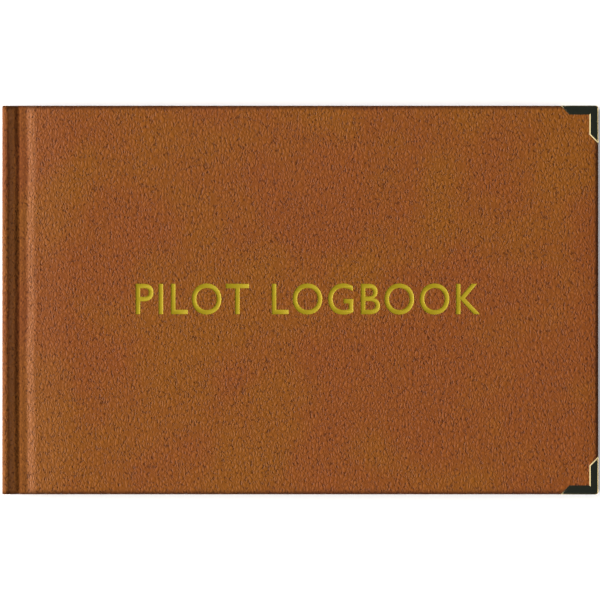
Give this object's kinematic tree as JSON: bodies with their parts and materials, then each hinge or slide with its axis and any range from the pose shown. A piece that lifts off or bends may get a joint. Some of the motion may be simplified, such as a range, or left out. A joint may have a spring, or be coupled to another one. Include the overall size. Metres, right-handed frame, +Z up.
{
  "type": "pilot logbook",
  "caption": "Landscape case-bound logbook in brown leatherette with brass corner guards; it opens in the middle and at either cover.",
  "frame": {"origin": "under the middle of the closed book, on the surface it lies on", "axes": "+X from the spine to the fore-edge, +Y to the head, +Z up to the front cover"},
  "size_m": [0.238, 0.1552, 0.0151],
  "materials": {
    "leatherette": "grained leatherette, satin",
    "brass": "polished",
    "greyboard": "matt",
    "page_paper": "uncoated",
    "endpaper": "uncoated",
    "mull": "open gauze",
    "kraft_lining": "uncoated",
    "woven_band": "woven stripe",
    "thread": "waxed linen"
  },
  "bodies": {
    "back_cover": {"back_board": "greyboard", "back_cover_skin": "leatherette", "back_joint_skin": "leatherette", "back_pastedown": "endpaper", "mull_back_flap": "mull", "corner_back_head": "brass", "corner_back_tail": "brass"},
    "lower_leaves": {"signature_5": "page_paper", "signature_6": "page_paper", "signature_7": "page_paper", "signature_8": "page_paper", "back_flyleaf": "endpaper", "spine_lining_lower": "kraft_lining", "headband_lower": "woven_band", "tailband_lower": "woven_band", "sewing_thread_lower": "thread"},
    "upper_leaves": {"signature_1": "page_paper", "signature_2": "page_paper", "spine_lining_upper": "kraft_lining", "headband_upper": "woven_band", "tailband_upper": "woven_band", "sewing_thread_upper": "thread"},
    "third_signature": {"signature_3": "page_paper"},
    "fourth_signature": {"signature_4": "page_paper"},
    "spine": {"spine_skin": "leatherette", "spine_inlay": "greyboard"},
    "front_joint": {"front_joint_skin": "leatherette", "front_flyleaf": "endpaper"},
    "front_cover": {"front_board": "greyboard", "front_cover_skin": "leatherette", "front_pastedown": "endpaper", "mull_front_flap": "mull", "corner_front_head": "brass", "corner_front_tail": "brass"}
  },
  "joints": [
    {"name": "book_open", "type": "hinge", "parent": "lower_leaves", "child": "upper_leaves", "pos_m": [-0.1174, 0, 0.00755], "axis": [0, -1, 0], "range_deg": [0, 180]},
    {"name": "third_signature_turn", "type": "hinge", "parent": "lower_leaves", "child": "third_signature", "pos_m": [-0.1174, 0, 0.00755], "axis": [0, -1, 0], "range_deg": [0, 176.5]},
    {"name": "fourth_signature_turn", "type": "hinge", "parent": "lower_leaves", "child": "fourth_signature", "pos_m": [-0.1174, 0, 0.00755], "axis": [0, -1, 0], "range_deg": [0, 172]},
    {"name": "spine_turn", "type": "hinge", "parent": "lower_leaves", "child": "spine", "pos_m": [-0.1174, 0, 0.00175], "axis": [0, -1, 0], "range_deg": [0, 90]},
    {"name": "front_joint_turn", "type": "hinge", "parent": "spine", "child": "front_joint", "pos_m": [-0.1174, 0, 0.01335], "axis": [0, -1, 0], "range_deg": [0, 90]},
    {"name": "front_cover_swing", "type": "hinge", "parent": "front_joint", "child": "front_cover", "pos_m": [-0.1174, 0, 0.01335], "axis": [0, 1, 0], "range_deg": [-120, 0]},
    {"name": "back_cover_swing", "type": "hinge", "parent": "back_cover", "child": "lower_leaves", "pos_m": [-0.1174, 0, 0.00175], "axis": [0, 1, 0], "range_deg": [-60, 0]}
  ],
  "couplings": [
    {"joint": "third_signature_turn", "follows": "book_open", "ratio": 0.98},
    {"joint": "fourth_signature_turn", "follows": "book_open", "ratio": 0.955},
    {"joint": "spine_turn", "follows": "book_open", "ratio": 0.5},
    {"joint": "front_joint_turn", "follows": "book_open", "ratio": 0.5}
  ]
}
